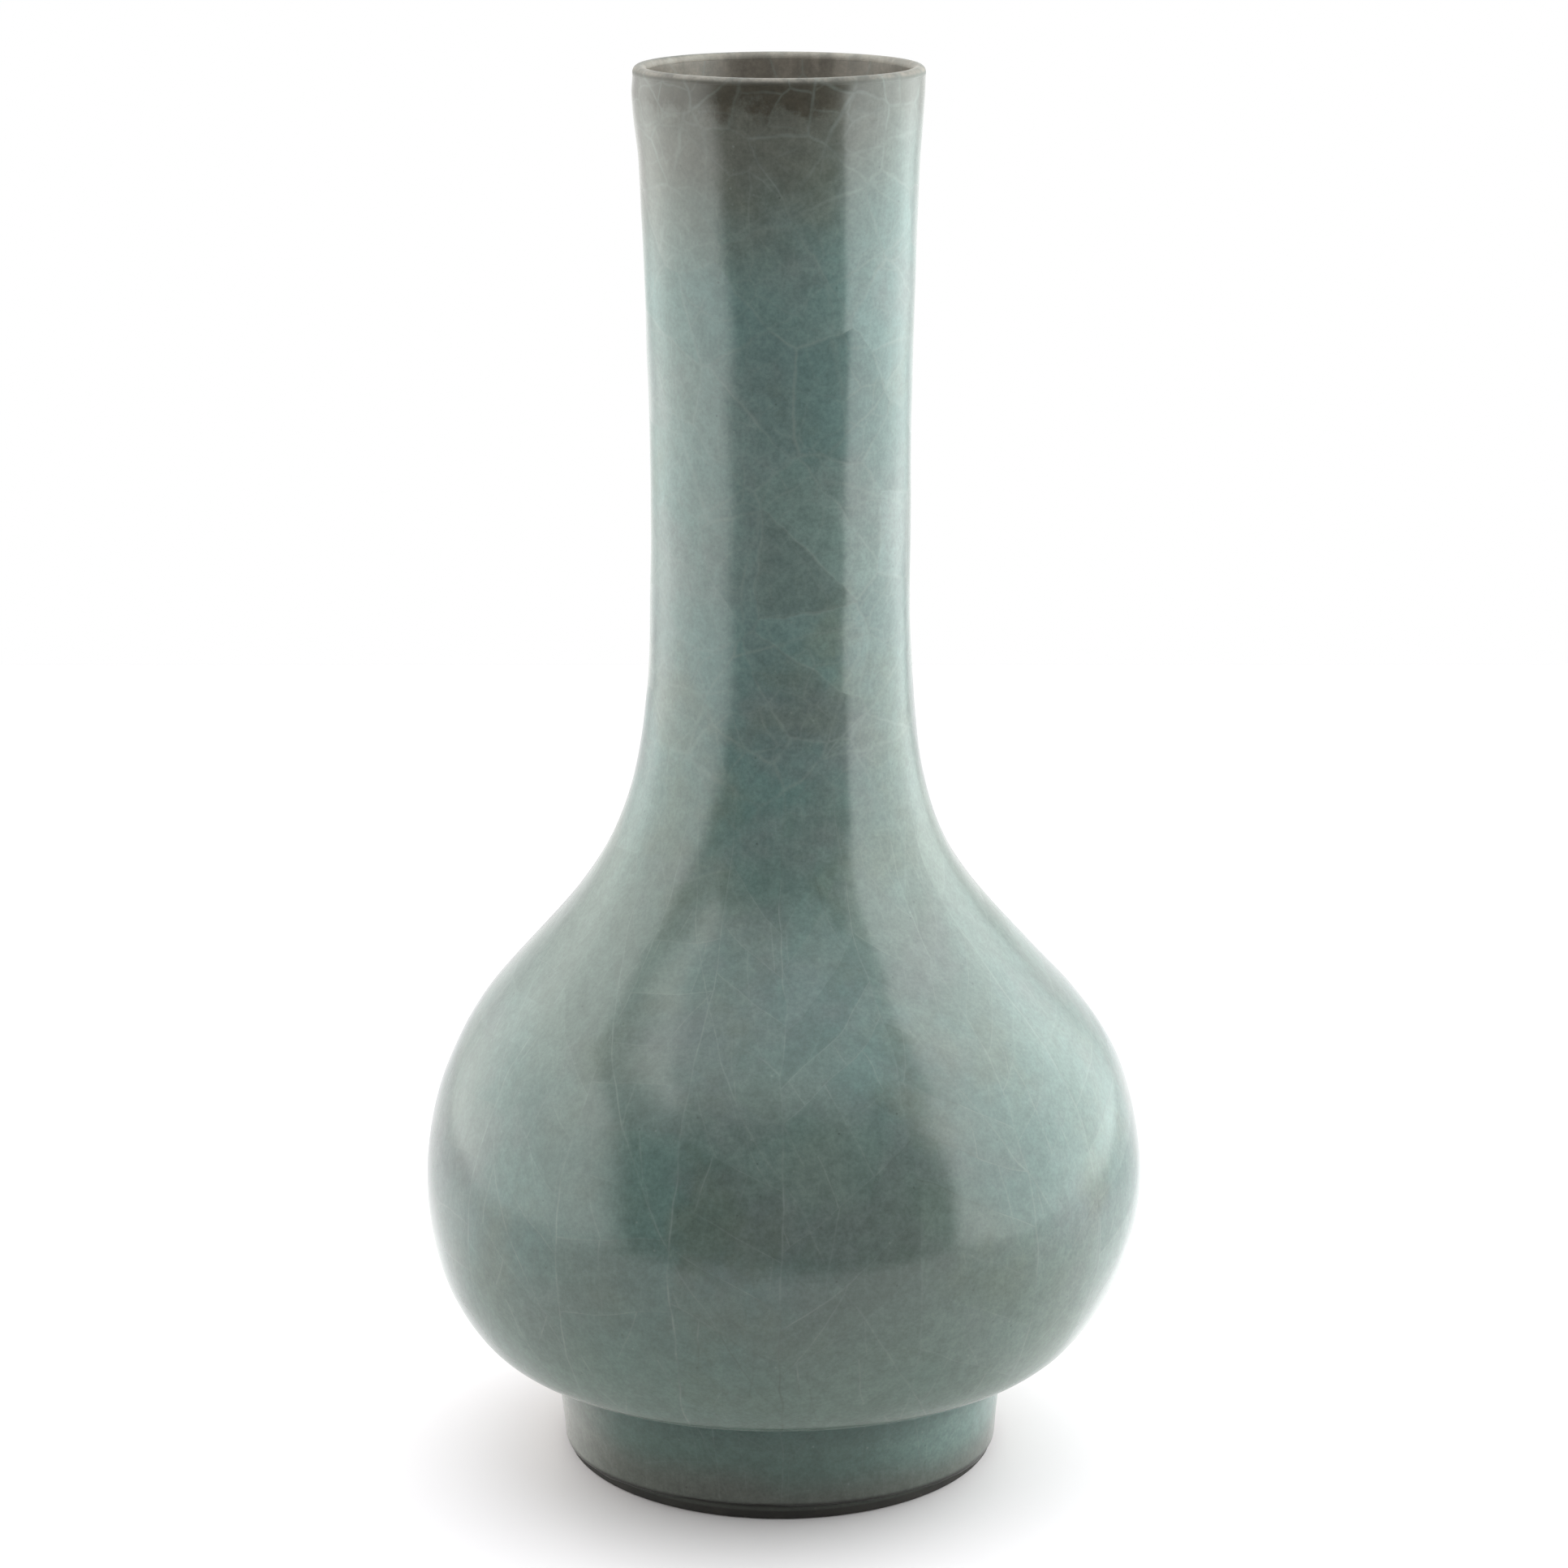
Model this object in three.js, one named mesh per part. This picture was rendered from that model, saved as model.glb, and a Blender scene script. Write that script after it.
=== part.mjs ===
// A stoneware bottle vase with a crackled celadon glaze.
// Four thrown clay sections are luted together with slip, then coated with glaze outside, inside and under
// the base. Every piece is turned about the vertical axis from one finished outline, so a change of a size
// carries through to the sections, the slip joints and the coats alike.
import * as THREE from "three";

const { degToRad, lerp, smoothstep } = THREE.MathUtils;

// Driving dimensions in millimetres. Diameters and heights are those of the finished, glazed surface.

// Foot
const footBottomDiameter = 74.4;
const footTopDiameter = 80.8;
const footHeight = 18.8;
const footRingHeight = 14.5;
const footRingWidth = 7;
const footEdgeChamfer = 0.8;
const footRootRound = 3;
const bareBandHeight = 2.8;
const recessBareHeight = 4;

// Body, from the foot up to the narrowest point of the neck
const bowlRise = 32;
const bellyDiameter = 123.6;
const bellyHalfHeight = 53.6;
const bellyLowAngle = degToRad(25);
const bellyHighAngle = degToRad(36.7);
const undersideSlope = degToRad(20);
const shoulderRise = 105.4;
const neckJointRise = 56;

// Neck and mouth, up to the full height of the vase
const vaseHeight = 240;
const neckDiameter = 43.1;
const mouthDiameter = 47.8;
const mouthFlare = 0.07;
const lipThickness = 2.2;

// Walls, measured from glaze to glaze, and the floor from the recess to the inside
const bellyWall = 6.2;
const neckWall = 4.6;
const floorThickness = 7.5;
const floorFlatDiameter = 56;

// Coats and joints
const glazeThickness = 0.9;
const edgeGlazeThickness = 0.5;
const liningThickness = 0.7;
const lipGlazeFade = 26;
const slipThickness = 1;
const bondGap = 0.05;

// Fullness of the curves, as shares of the stretch that each one crosses
const undersideFullness = { low: 0.33, high: 0.62 };
const shoulderFullness = { low: 0.386, high: 0.663 };
const neckFullness = { low: 0.69, high: 0.143 };

// Facets round the axis and along each stretch of the outline
const turnSegments = 36;
const steps = {
  footSide: 1,
  footRoot: 2,
  underside: 3,
  bellyLow: 3,
  bellyHigh: 4,
  shoulder: 7,
  neck: 5,
  lip: 6,
  floor: 4,
};

// Heights and radii that follow from them
const bellyHeight = footHeight + bowlRise;
const waistHeight = bellyHeight + shoulderRise;
const neckJointHeight = bellyHeight + neckJointRise;
const lipRadius = lipThickness / 2;
const recessRadius = footBottomDiameter / 2 - footRingWidth;
const baseHeight = footRingHeight + slipThickness;
const floorHeight = baseHeight + floorThickness;

// Outlines are lists of points, x being the radius and y the height.
const point = (radius, height) => new THREE.Vector2(radius, height);
const along = (start, direction, distance) => start.clone().addScaledVector(direction, distance);
const sample = (curve, count) => curve.getPoints(count).slice(0, -1);
const level = point(1, 0);
const up = point(0, 1);
const lipCentre = point(mouthDiameter / 2 - lipRadius, vaseHeight - lipRadius);

// A point and the upward tangent on the ellipse that the belly follows, at an angle above the widest point.
function onBelly(angle) {
  const radius = bellyDiameter / 2;
  const place = point(radius * Math.cos(angle), bellyHeight + bellyHalfHeight * Math.sin(angle));
  const tangent = point(-radius * Math.sin(angle), bellyHalfHeight * Math.cos(angle)).normalize();
  return { place, tangent };
}

function bellyArc(from, to) {
  return new THREE.EllipseCurve(0, bellyHeight, bellyDiameter / 2, bellyHalfHeight, from, to);
}

// The finished outside from the rest edge to the start of the lip.
function outsideOutline() {
  const heel = point(footBottomDiameter / 2, 0);
  const root = point(footTopDiameter / 2, footHeight);
  const footSide = root.clone().sub(heel).normalize();
  const underside = point(Math.cos(undersideSlope), Math.sin(undersideSlope));
  const rootStart = along(root, footSide, -footRootRound);
  const rootEnd = along(root, underside, footRootRound);

  const bowl = onBelly(-bellyLowAngle);
  const shoulder = onBelly(bellyHighAngle);
  const waist = point(neckDiameter / 2, waistHeight);
  const mouth = point(mouthDiameter / 2, lipCentre.y);
  const undersideSpan = rootEnd.distanceTo(bowl.place);
  const shoulderSpan = waist.y - shoulder.place.y;
  const neckSpan = mouth.y - waist.y;
  const flare = point(mouthFlare, 1);

  const stretches = [
    [new THREE.LineCurve(heel, rootStart), steps.footSide],
    [new THREE.QuadraticBezierCurve(rootStart, root, rootEnd), steps.footRoot],
    [
      new THREE.CubicBezierCurve(
        rootEnd,
        along(rootEnd, underside, undersideFullness.low * undersideSpan),
        along(bowl.place, bowl.tangent, -undersideFullness.high * undersideSpan),
        bowl.place,
      ),
      steps.underside,
    ],
    [bellyArc(-bellyLowAngle, 0), steps.bellyLow],
    [bellyArc(0, bellyHighAngle), steps.bellyHigh],
    [
      new THREE.CubicBezierCurve(
        shoulder.place,
        along(shoulder.place, shoulder.tangent, shoulderFullness.low * shoulderSpan),
        along(waist, up, -shoulderFullness.high * shoulderSpan),
        waist,
      ),
      steps.shoulder,
    ],
    [
      new THREE.CubicBezierCurve(
        waist,
        along(waist, up, neckFullness.low * neckSpan),
        along(mouth, flare, -neckFullness.high * neckSpan),
        mouth,
      ),
      steps.neck,
    ],
  ];
  return [...stretches.flatMap(([curve, count]) => sample(curve, count)), mouth];
}

// Moves each point of an outline along its normal, to the right of the way the outline runs. The corner
// points move further, so that the distance holds along both edges, and the last, at the lip, moves level.
function offset(outline, distanceAt) {
  const edgeNormals = outline.slice(1).map((end, i) => {
    const edge = end.clone().sub(outline[i]).normalize();
    return point(edge.y, -edge.x);
  });
  return outline.map((place, i) => {
    const before = edgeNormals[Math.max(i - 1, 0)];
    const after = edgeNormals[i];
    if (!after) return along(place, level, distanceAt(place));
    const normal = before.clone().add(after).normalize();
    return along(place, normal, distanceAt(place) / normal.dot(after));
  });
}

// The point where a rising outline passes a height, on the chord between two of its points.
function cut(outline, height) {
  const next = Math.max(outline.findIndex((place) => place.y >= height), 1);
  const [start, end] = [outline[next - 1], outline[next]];
  return start.clone().lerp(end, (height - start.y) / (end.y - start.y));
}

// The stretch of a rising outline up to a height, or between two heights.
function below(outline, high) {
  return [...outline.filter((place) => place.y < high), cut(outline, high)];
}

function clip(outline, low, high) {
  return [cut(outline, low), ...below(outline, high).filter((place) => place.y > low)];
}

// Thickness of the outer coat, of the lining and of the whole wall at a height.
const lipFade = (height) => smoothstep(height, lipCentre.y - lipGlazeFade, lipCentre.y);

function coatAt({ y }) {
  const atFoot = lerp(edgeGlazeThickness, glazeThickness, smoothstep(y, bareBandHeight, footHeight));
  return lerp(atFoot, edgeGlazeThickness, lipFade(y));
}

function liningAt({ y }) {
  return lerp(liningThickness, edgeGlazeThickness, lipFade(y));
}

function wallAt({ y }) {
  const atNeck = lerp(bellyWall, neckWall, smoothstep(y, bellyHeight, waistHeight));
  return lerp(atNeck, lipThickness, lipFade(y));
}

// The finished inside: a flat floor that rounds up into the wall, then the wall at its thickness.
function insideOutline(outside) {
  const bowlStart = steps.footSide + steps.footRoot + steps.underside;
  const wall = offset(outside, (place) => -wallAt(place)).slice(bowlStart);
  const [rim] = wall;
  const { tangent } = onBelly(-bellyLowAngle);
  const corner = along(rim, tangent, (floorHeight - rim.y) / tangent.y);
  const floorEdge = point(floorFlatDiameter / 2, floorHeight);
  const floorRound = new THREE.QuadraticBezierCurve(floorEdge, corner, rim);
  return [point(0, floorHeight), ...sample(floorRound, steps.floor), ...wall];
}

// An arc over the lip about its centre, from the outer side to the inner side.
function lipArc(radius) {
  return new THREE.EllipseCurve(lipCentre.x, lipCentre.y, radius, radius, 0, Math.PI).getPoints(steps.lip);
}

const outside = outsideOutline();
const inside = insideOutline(outside);
const underCoat = offset(outside, (place) => -coatAt(place));
const clayOutside = offset(outside, (place) => -coatAt(place) - bondGap);
const underLining = offset(inside, liningAt);
const clayInside = offset(inside, (place) => liningAt(place) + bondGap);
const clayLip = lipArc(lipRadius - edgeGlazeThickness - bondGap);

// Turns an outline about the vertical axis. A loop that is clear of the axis is closed on itself.
function turned(outline) {
  const onAxis = outline[0].x === 0 && outline.at(-1).x === 0;
  const profile = onAxis ? outline : [...outline, outline[0]];
  return new THREE.LatheGeometry(profile, turnSegments).rotateX(Math.PI / 2);
}

// A ring of the clay wall between two heights.
function wallRing(low, high) {
  return turned([...clip(clayOutside, low, high), ...clip(clayInside, low, high).reverse()]);
}

function footRing() {
  const side = clip(clayOutside, footEdgeChamfer, footRingHeight);
  return turned([
    point(recessRadius + footEdgeChamfer, 0),
    point(side[0].x - footEdgeChamfer, 0),
    ...side,
    point(recessRadius, footRingHeight),
    point(recessRadius, footEdgeChamfer),
  ]);
}

function lowerBody() {
  const top = bellyHeight - slipThickness / 2;
  const underside = clip(clayOutside, baseHeight, top);
  return turned([point(0, baseHeight), ...underside, ...below(clayInside, top).reverse()]);
}

function neck() {
  const low = neckJointHeight + slipThickness / 2;
  const outer = clip(clayOutside, low, lipCentre.y).slice(0, -1);
  const inner = clip(clayInside, low, lipCentre.y).slice(0, -1);
  return turned([...outer, ...clayLip, ...inner.reverse()]);
}

function footSlip() {
  const side = clip(clayOutside, footRingHeight + bondGap, baseHeight - bondGap);
  return turned([...side, point(recessRadius, side.at(-1).y), point(recessRadius, side[0].y)]);
}

function jointSlip(height) {
  const half = slipThickness / 2 - bondGap;
  return wallRing(height - half, height + half);
}

function outerGlaze() {
  const face = clip(outside, bareBandHeight, lipCentre.y).slice(0, -1);
  const back = clip(underCoat, bareBandHeight, lipCentre.y).slice(0, -1);
  const overLip = lipArc(lipRadius);
  const underLip = lipArc(lipRadius - edgeGlazeThickness);
  return turned([...face, ...overLip, ...underLip.reverse(), ...back.reverse()]);
}

function innerGlaze() {
  const top = lipCentre.y - bondGap;
  return turned([...below(underLining, top), ...below(inside, top).reverse()]);
}

function baseGlaze() {
  const ceiling = baseHeight - bondGap;
  const rim = recessRadius - bondGap;
  return turned([
    point(0, ceiling - liningThickness),
    point(rim - liningThickness, ceiling - liningThickness),
    point(rim - liningThickness, recessBareHeight),
    point(rim, recessBareHeight),
    point(rim, ceiling),
    point(0, ceiling),
  ]);
}

// Finishes
const finish = (color, roughness) => new THREE.MeshStandardMaterial({ color, roughness, metalness: 0 });
const stoneware = finish("#3a3532", 0.85);
const slip = finish("#4b433d", 0.9);
const celadon = finish("#7e9990", 0.22);
const liningGlaze = finish("#8b877b", 0.3);
const recessGlaze = finish("#7c8c84", 0.3);

const vase = new THREE.Group();

function add(name, geometry, material) {
  const mesh = new THREE.Mesh(geometry, material);
  mesh.name = name;
  vase.add(mesh);
}

add("foot_ring", footRing(), stoneware);
add("lower_body", lowerBody(), stoneware);
add("upper_body", wallRing(bellyHeight + slipThickness / 2, neckJointHeight - slipThickness / 2), stoneware);
add("neck", neck(), stoneware);
add("foot_luting_slip", footSlip(), slip);
add("belly_luting_slip", jointSlip(bellyHeight), slip);
add("neck_luting_slip", jointSlip(neckJointHeight), slip);
add("outer_glaze", outerGlaze(), celadon);
add("inner_glaze", innerGlaze(), liningGlaze);
add("base_glaze", baseGlaze(), recessGlaze);

export default vase;
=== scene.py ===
"""A crackled celadon bottle vase, dressed around its packed clay sections.

The clay and the slip joints keep their solids. The coats and the foot ring are turned again here with the
small unevenness of thrown and dipped ware, and every surface gets its finish.
"""
import math

import bmesh
import bpy
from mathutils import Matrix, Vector, noise


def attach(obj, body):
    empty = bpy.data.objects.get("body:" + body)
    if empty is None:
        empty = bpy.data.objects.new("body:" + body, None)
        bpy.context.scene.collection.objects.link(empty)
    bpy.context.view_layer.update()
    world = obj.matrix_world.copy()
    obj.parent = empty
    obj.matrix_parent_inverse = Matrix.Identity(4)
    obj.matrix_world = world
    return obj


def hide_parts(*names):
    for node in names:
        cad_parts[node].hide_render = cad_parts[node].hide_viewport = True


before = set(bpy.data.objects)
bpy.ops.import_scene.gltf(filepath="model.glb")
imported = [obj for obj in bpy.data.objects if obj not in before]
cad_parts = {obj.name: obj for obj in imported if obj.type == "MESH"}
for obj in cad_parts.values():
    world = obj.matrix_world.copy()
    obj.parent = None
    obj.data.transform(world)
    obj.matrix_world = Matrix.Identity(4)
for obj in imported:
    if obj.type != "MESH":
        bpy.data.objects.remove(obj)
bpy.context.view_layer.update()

MM = 0.001

# The finished outline, in metres: radii and heights
FOOT_BOTTOM_RADIUS = 37.2 * MM
FOOT_TOP_RADIUS = 40.4 * MM
FOOT_HEIGHT = 18.8 * MM
FOOT_ROOT_ROUND = 3 * MM
FOOT_RING_WIDTH = 7 * MM
FOOT_RING_HEIGHT = 14.5 * MM
FOOT_EDGE_ROUND = 0.8 * MM
BARE_BAND_HEIGHT = 2.8 * MM
RECESS_BARE_HEIGHT = 4 * MM
BELLY_RADIUS = 61.8 * MM
BELLY_HALF_HEIGHT = 53.6 * MM
BELLY_HEIGHT = 50.8 * MM
BELLY_LOW_ANGLE = math.radians(-25)
BELLY_HIGH_ANGLE = math.radians(36.7)
UNDERSIDE_SLOPE = math.radians(20)
WAIST_RADIUS = 21.55 * MM
WAIST_HEIGHT = 156.2 * MM
MOUTH_RADIUS = 23.9 * MM
MOUTH_FLARE = 0.07
VASE_HEIGHT = 240 * MM
LIP_RADIUS = 1.1 * MM
LIP_CENTRE = Vector((MOUTH_RADIUS - LIP_RADIUS, VASE_HEIGHT - LIP_RADIUS))

# Walls and coats
BELLY_WALL = 6.2 * MM
NECK_WALL = 4.6 * MM
LIP_FADE = 26 * MM
FLOOR_HEIGHT = 23 * MM
FLOOR_FLAT_RADIUS = 28 * MM
BASE_HEIGHT = 15.5 * MM
RECESS_FILL = 2.2 * MM
COAT_THICKNESS = 0.5 * MM
LINING_THICKNESS = 0.7 * MM
BOND_GAP = 0.02 * MM
RECESS_RADIUS = FOOT_BOTTOM_RADIUS - FOOT_RING_WIDTH

# Fullness of the curves, as shares of the stretch that each one crosses
UNDERSIDE_FULLNESS = (0.33, 0.62)
SHOULDER_FULLNESS = (0.386, 0.663)
NECK_FULLNESS = (0.69, 0.143)

# Fineness of the turned meshes
TURN_SEGMENTS = 240
OUTLINE_STEP = 1.1 * MM
ROOT_STEP = OUTLINE_STEP / 3
LEAST_STEPS = 3
BACK_STRIDE = 4
EDGE_STEPS = 6
BEAD_STEPS = 8
UNDER_LIP_STEPS = 10
LIP_STEPS = 20
SHARP_ANGLE = math.radians(50)

UP = Vector((0, 1))


# Outlines are lists of 2-D vectors, x being the radius and y the height.

def bezier(*handles, spacing=OUTLINE_STEP):
    """Points along a Bezier curve of any degree, without its last one."""
    reach = sum((b - a).length for a, b in zip(handles, handles[1:]))
    count = max(LEAST_STEPS, round(reach / spacing))
    outline = []
    for i in range(count):
        ring = list(handles)
        while len(ring) > 1:
            ring = [a.lerp(b, i / count) for a, b in zip(ring, ring[1:])]
        outline.append(ring[0])
    return outline


def arc(centre, radius, start, end, count):
    """Points on a circle's arc between two angles, both ends included."""
    angles = [start + (end - start) * i / count for i in range(count + 1)]
    return [centre + radius * Vector((math.cos(a), math.sin(a))) for a in angles]


def on_belly(angle):
    """A point and the upward tangent on the ellipse that the belly follows."""
    place = Vector((BELLY_RADIUS * math.cos(angle), BELLY_HEIGHT + BELLY_HALF_HEIGHT * math.sin(angle)))
    tangent = Vector((-BELLY_RADIUS * math.sin(angle), BELLY_HALF_HEIGHT * math.cos(angle)))
    return place, tangent.normalized()


def belly_arc():
    """Points along the belly's ellipse, without its last one."""
    span = BELLY_HIGH_ANGLE - BELLY_LOW_ANGLE
    count = round(BELLY_RADIUS * span / OUTLINE_STEP)
    return [on_belly(BELLY_LOW_ANGLE + span * i / count)[0] for i in range(count)]


def outside_outline():
    """The finished outside from the rest edge to the start of the lip."""
    heel = Vector((FOOT_BOTTOM_RADIUS, 0))
    root = Vector((FOOT_TOP_RADIUS, FOOT_HEIGHT))
    foot_side = (root - heel).normalized()
    underside = Vector((math.cos(UNDERSIDE_SLOPE), math.sin(UNDERSIDE_SLOPE)))
    root_start = root - foot_side * FOOT_ROOT_ROUND
    root_end = root + underside * FOOT_ROOT_ROUND
    bowl, bowl_tangent = on_belly(BELLY_LOW_ANGLE)
    shoulder, shoulder_tangent = on_belly(BELLY_HIGH_ANGLE)
    waist = Vector((WAIST_RADIUS, WAIST_HEIGHT))
    mouth = Vector((MOUTH_RADIUS, LIP_CENTRE.y))
    flare = Vector((MOUTH_FLARE, 1))

    low, high = (share * (bowl - root_end).length for share in UNDERSIDE_FULLNESS)
    under_belly = bezier(root_end, root_end + underside * low, bowl - bowl_tangent * high, bowl)
    low, high = (share * (waist.y - shoulder.y) for share in SHOULDER_FULLNESS)
    over_belly = bezier(shoulder, shoulder + shoulder_tangent * low, waist - UP * high, waist)
    low, high = (share * (mouth.y - waist.y) for share in NECK_FULLNESS)
    neck = bezier(waist, waist + UP * low, mouth - flare * high, mouth)
    return [
        *bezier(heel, root_start),
        *bezier(root_start, root, root_end, spacing=ROOT_STEP),
        *under_belly,
        *belly_arc(),
        *over_belly,
        *neck,
        mouth,
    ]


def offset(outline, distance_at):
    """Moves each point along its normal, to the right of the way that the outline runs."""
    last = len(outline) - 1
    moved = []
    for i, place in enumerate(outline):
        along = (outline[min(i + 1, last)] - outline[max(i - 1, 0)]).normalized()
        moved.append(place + Vector((along.y, -along.x)) * distance_at(place))
    return moved


def radius_at(outline, height):
    """The radius of a rising outline at a height."""
    for below, above in zip(outline, outline[1:]):
        if above.y >= height:
            share = (height - below.y) / (above.y - below.y)
            return below.x + (above.x - below.x) * share
    return outline[-1].x


def smooth_step(value, low, high):
    """0 up to the low value, 1 from the high one on, and a smooth rise between them."""
    share = min(max((value - low) / (high - low), 0), 1)
    return share * share * (3 - 2 * share)


def between(value, rise, fall):
    """1 between a smooth rise and a smooth fall, 0 before and after them."""
    return smooth_step(value, *rise) * (1 - smooth_step(value, *fall))


def wall_at(place):
    """The whole wall, from glaze to glaze."""
    towards_neck = smooth_step(place.y, BELLY_HEIGHT, WAIST_HEIGHT)
    wall = BELLY_WALL + (NECK_WALL - BELLY_WALL) * towards_neck
    towards_lip = smooth_step(place.y, LIP_CENTRE.y - LIP_FADE, LIP_CENTRE.y)
    return wall + (2 * LIP_RADIUS - wall) * towards_lip


OUTSIDE = outside_outline()


# Hand-thrown unevenness

# Heights, and how far the axis strays sideways there, in millimetres
LEAN = ((0, -0.2), (28, -0.35), (50, 0.5), (68, 0.5), (88, -0.4), (108, -0.55), (145, -0.1), (240, -0.3))
OVALITY = 0.06 * MM
OVALITY_TURN = 0.7
NECK_OVALITY = 0.62 * MM
NECK_FULL = 0.3
NECK_OVAL_RISE = (110 * MM, 140 * MM)
NECK_OVAL_END = (216 * MM, 238 * MM)

# Throwing marks: depth and length
UNDULATIONS = ((0.26 * MM, 27 * MM), (0.11 * MM, 12 * MM), (0.035 * MM, 6 * MM))
CALM_AT_FOOT = (4 * MM, 14 * MM)
CALM_AT_LIP = (222 * MM, 237 * MM)

LOW_BELLY_SWELL = 0.6 * MM
LOW_BELLY_RISE = (20 * MM, 34 * MM)
LOW_BELLY_END = (42 * MM, 64 * MM)
FOOT_SPREAD = 0.7 * MM
FOOT_SPREAD_END = 9 * MM
LIP_ROLL = 0.3 * MM
LIP_ROLL_RISE = (224 * MM, 233 * MM)
LIP_ROLL_END = (235 * MM, 239 * MM)
LIP_TILT = 0.0105
LIP_TILT_RISE = (190 * MM, 236 * MM)


def lean_at(height):
    """How far the axis strays sideways at a height."""
    for (low, start), (high, end) in zip(LEAN, LEAN[1:]):
        if height <= high * MM:
            break
    return (start + (end - start) * smooth_step(height, low * MM, high * MM)) * MM


def thrown(place, unevenness=1):
    """Moves a point from the true turned form to the form as it left the potter's hands.

    A smaller unevenness keeps the inside nearer to the true form, but not at the lip, where inside
    and outside meet.
    """
    angle = math.atan2(place.y, place.x)
    outward = Vector((math.cos(angle), math.sin(angle), 0))
    calm = between(place.z, CALM_AT_FOOT, CALM_AT_LIP)
    neck = between(place.z, NECK_OVAL_RISE, NECK_OVAL_END)
    ripple = sum(depth * noise.noise(place / size) for depth, size in UNDULATIONS)
    oval = NECK_OVALITY * (NECK_FULL - math.sin(2 * angle))
    roll = LIP_ROLL * (1 - outward.x / 2) * between(place.z, LIP_ROLL_RISE, LIP_ROLL_END)
    full = LOW_BELLY_SWELL * between(place.z, LOW_BELLY_RISE, LOW_BELLY_END)
    swell = unevenness * (calm * ripple + neck * oval + roll + full)
    swell += OVALITY * math.cos(2 * angle + OVALITY_TURN)
    swell += FOOT_SPREAD * (1 - smooth_step(place.z, 0, FOOT_SPREAD_END))
    at_lip = smooth_step(place.z, *LIP_TILT_RISE)
    lean = lean_at(place.z) * (unevenness + (1 - unevenness) * at_lip)
    lift = LIP_TILT * (place.y + MOUTH_RADIUS) * at_lip
    return place + outward * swell + Vector((lean, 0, lift))


# Turned meshes

def turned(name, outline, shape, segments=TURN_SEGMENTS):
    """Turns an outline about the vertical axis. One that is clear of the axis is closed on itself."""
    on_axis = outline[0].x == 0
    mesh = bmesh.new()
    rings = []
    for place in outline:
        if place.x == 0:
            rings.append([mesh.verts.new((0, 0, place.y))])
            continue
        angles = [math.tau * j / segments for j in range(segments)]
        circle = [Vector((place.x * math.sin(a), -place.x * math.cos(a), place.y)) for a in angles]
        rings.append([mesh.verts.new(shape(point)) for point in circle])
    following = rings[1:] if on_axis else rings[1:] + rings[:1]
    for ring, after in zip(rings, following):
        for j in range(segments):
            corners = [ring[j % len(ring)], ring[(j + 1) % len(ring)]]
            corners += [after[(j + 1) % len(after)], after[j % len(after)]]
            mesh.faces.new(dict.fromkeys(corners))
    bmesh.ops.recalc_face_normals(mesh, faces=mesh.faces)
    data = bpy.data.meshes.new(name)
    mesh.to_mesh(data)
    mesh.free()
    data.shade_smooth()
    data.set_sharp_from_angle(angle=SHARP_ANGLE)
    piece = bpy.data.objects.new(name, data)
    bpy.context.scene.collection.objects.link(piece)
    return piece


def dress(piece, node, material):
    """Puts a piece in the place of a solid, with its finish."""
    piece.data.materials.append(material)
    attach(piece, "root")
    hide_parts(node)


# Waves of the coat's lower edge: how many go round, their height in millimetres, and their turn
EDGE_WAVES = ((3, 0.2, 0.4), (7, 0.14, 2.1), (19, 0.1, 1.2), (34, 0.06, 0.3))
EDGE_WAVE_FADE = 6 * MM
EDGE_SAG = 0.75 * MM
FOOT_SLOPE = (FOOT_TOP_RADIUS - FOOT_BOTTOM_RADIUS) / FOOT_HEIGHT


def glaze_edge(place):
    """Lets the coat's lower edge wander as dipped glaze does, and hang lower at the sides."""
    angle = math.atan2(place.y, place.x)
    outward = Vector((math.cos(angle), math.sin(angle), 0))
    wave = sum(size * math.sin(count * angle + turn) for count, size, turn in EDGE_WAVES) * MM
    wave -= 2 * EDGE_SAG * outward.x**2
    hold = 1 - smooth_step(place.z, BARE_BAND_HEIGHT, BARE_BAND_HEIGHT + EDGE_WAVE_FADE)
    return thrown(place) + (outward * FOOT_SLOPE + Vector((0, 0, 1))) * wave * hold


def outer_coat(material):
    """The celadon coat, from its rolled lower edge up and over the lip."""
    half = COAT_THICKNESS / 2
    low = BARE_BAND_HEIGHT + half
    face = [place for place in OUTSIDE[:-1] if place.y > low]
    back = offset(face[::BACK_STRIDE], lambda place: -COAT_THICKNESS)
    bead_centre = Vector((radius_at(OUTSIDE, low) - half, low))
    bead = arc(bead_centre, half, -math.pi, 0, BEAD_STEPS)
    over_lip = arc(LIP_CENTRE, LIP_RADIUS, 0, math.pi, LIP_STEPS)
    under_lip = arc(LIP_CENTRE, LIP_RADIUS - COAT_THICKNESS, math.pi, 0, UNDER_LIP_STEPS)
    outline = [*bead, *face, *over_lip, *under_lip, *reversed(back[1:])]
    dress(turned("celadon_coat", outline, glaze_edge), "outer_glaze", material)


INSIDE_UNEVENNESS = 0.08
FLOOR_POOL = Vector((-0.8 * MM, 0.8 * MM))
FLOOR_RING_SIZE = 0.18 * MM
FLOOR_RING_PITCH = 5.5 * MM
FLOOR_RING_FADE = 26 * MM


def finger_rings(place):
    """Leaves the potter's finger rings on the floor inside."""
    radius = math.hypot(place.x, place.y)
    on_floor = 1 - smooth_step(radius, FLOOR_FLAT_RADIUS / 2, FLOOR_FLAT_RADIUS)
    low = 1 - smooth_step(place.z, FLOOR_HEIGHT, FLOOR_HEIGHT + FLOOR_RING_FADE)
    ripple = FLOOR_RING_SIZE * math.cos(math.tau * radius / FLOOR_RING_PITCH) * on_floor * low
    return thrown(place, INSIDE_UNEVENNESS) + Vector((0, 0, ripple))


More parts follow.
